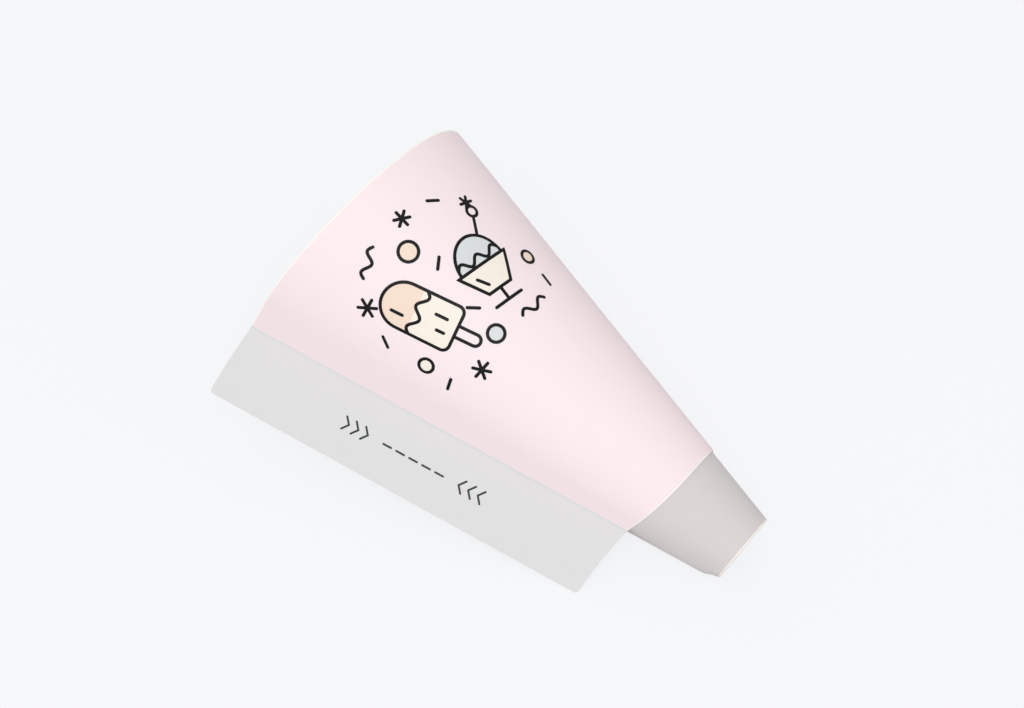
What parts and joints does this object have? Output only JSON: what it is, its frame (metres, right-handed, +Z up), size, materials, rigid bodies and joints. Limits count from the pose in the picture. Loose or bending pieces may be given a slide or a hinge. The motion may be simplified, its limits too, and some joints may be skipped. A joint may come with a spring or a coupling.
{
  "type": "ice cream cone sleeve",
  "caption": "Tapered paper sleeve rolled from one sheet, with a square flap left standing along one side and a narrow tail under the outer turn.",
  "frame": {"origin": "centre of the footprint, on the surface the sleeve lies on", "axes": "+X along the line it lies on, from the wide mouth to the narrow tail; +Y away from the flap; +Z up"},
  "size_m": [0.1052, 0.0716, 0.0556],
  "materials": {
    "printed_paper": "matte, pale pink print outside and bare grey-white paper inside"
  },
  "bodies": {
    "root": {"sleeve": "printed_paper"}
  },
  "joints": []
}
